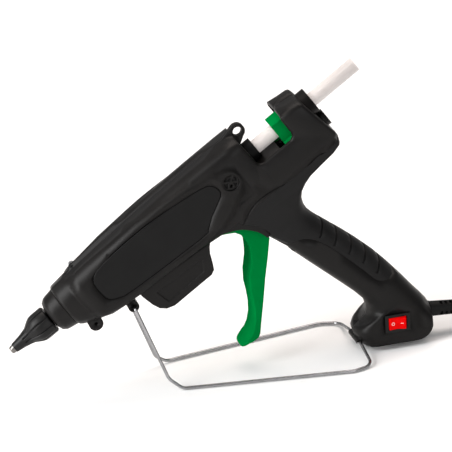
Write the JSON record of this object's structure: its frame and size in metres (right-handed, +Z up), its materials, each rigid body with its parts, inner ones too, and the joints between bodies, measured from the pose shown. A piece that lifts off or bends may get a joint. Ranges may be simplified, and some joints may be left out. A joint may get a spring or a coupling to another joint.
{
  "type": "glue gun",
  "caption": "Corded hot-melt glue gun on a folding wire stand, with a lever trigger that drives a stick feed carriage, a rocker switch and a coiled mains cord.",
  "frame": {"origin": "middle of the gun's and stand's box, on the surface that the stand rests on", "axes": "+X towards the handle's heel and the cord, +Y to the user's right, +Z up"},
  "size_m": [0.5079, 0.1505, 0.2428],
  "materials": {
    "housing": "fine moulded texture",
    "panel": "smooth satin",
    "grip": "soft matte",
    "green": "semi gloss",
    "nozzle_metal": "worn",
    "boot": "matte",
    "chamber": "as cast",
    "insulation": "woven glass",
    "heater": "satin",
    "thermostat": "satin",
    "sleeve": "smooth",
    "glue": "translucent",
    "steel": "satin",
    "wire": "bright plated",
    "switch": "semi gloss",
    "rocker": "translucent red",
    "terminal": "moulded",
    "cord": "matte",
    "lead": "smooth",
    "pin_brass": "nickel plated"
  },
  "bodies": {
    "gun_body": {"housing_left": "housing", "housing_right": "housing", "side_panel_left": "panel", "side_panel_right": "panel", "soft_grip": "grip", "lower_cover": "housing", "front_cap": "housing", "nozzle": "nozzle_metal", "nozzle_boot": "boot", "melt_chamber": "chamber", "chamber_insulation": "insulation", "heating_cartridges": "heater", "thermostat": "thermostat", "inlet_sleeve": "sleeve", "stick_collar": "housing", "pivot_plugs": "housing", "return_spring": "steel", "switch_body": "switch", "terminal_block": "terminal", "housing_screws": "steel", "supply_leads": "lead", "strain_relief": "cord", "cord_lead": "cord", "cord_coil": "cord", "cord_tail": "cord", "plug": "cord", "plug_pins": "pin_brass"},
    "trigger": {"trigger": "green"},
    "feed": {"feed_carriage": "green", "stick_gripper": "steel"},
    "stick": {"glue_stick": "glue"},
    "stand": {"wire_stand": "wire"},
    "rocker": {"switch_rocker": "rocker"},
    "adjuster": {"feed_adjuster": "housing"}
  },
  "joints": [
    {"name": "trigger_pull", "type": "hinge", "parent": "gun_body", "child": "trigger", "pos_m": [0.00983, 0, 0.16108], "axis": [0, -1, 0], "range_deg": [0, 18], "stiffness_Nm_per_rad": 1.2, "springref_deg": -17.19, "deforming": ["return_spring"]},
    {"name": "feed_slide", "type": "slide", "parent": "gun_body", "child": "feed", "axis": [-0.831, 0, -0.5563], "range_m": [0, 0.0051]},
    {"name": "stick_slide", "type": "slide", "parent": "gun_body", "child": "stick", "axis": [-0.831, 0, -0.5563], "range_m": [0, 0.0051]},
    {"name": "stand_fold", "type": "hinge", "parent": "gun_body", "child": "stand", "pos_m": [-0.07242, 0, 0.07076], "axis": [0, 1, 0], "range_deg": [0, 95]},
    {"name": "switch_rock", "type": "hinge", "parent": "gun_body", "child": "rocker", "pos_m": [0.13912, -0.0179, 0.0226], "axis": [0, 0, 1], "range_deg": [0, 16]},
    {"name": "adjuster_turn", "type": "hinge", "parent": "gun_body", "child": "adjuster", "pos_m": [0.08172, 0, 0.19104], "axis": [0.831, 0, 0.5563], "range_deg": [-90, 90]}
  ],
  "couplings": [
    {"joint": "feed_slide", "follows": "trigger_pull", "m_per_rad": 0.015934},
    {"joint": "stick_slide", "follows": "trigger_pull", "m_per_rad": 0.015934}
  ]
}
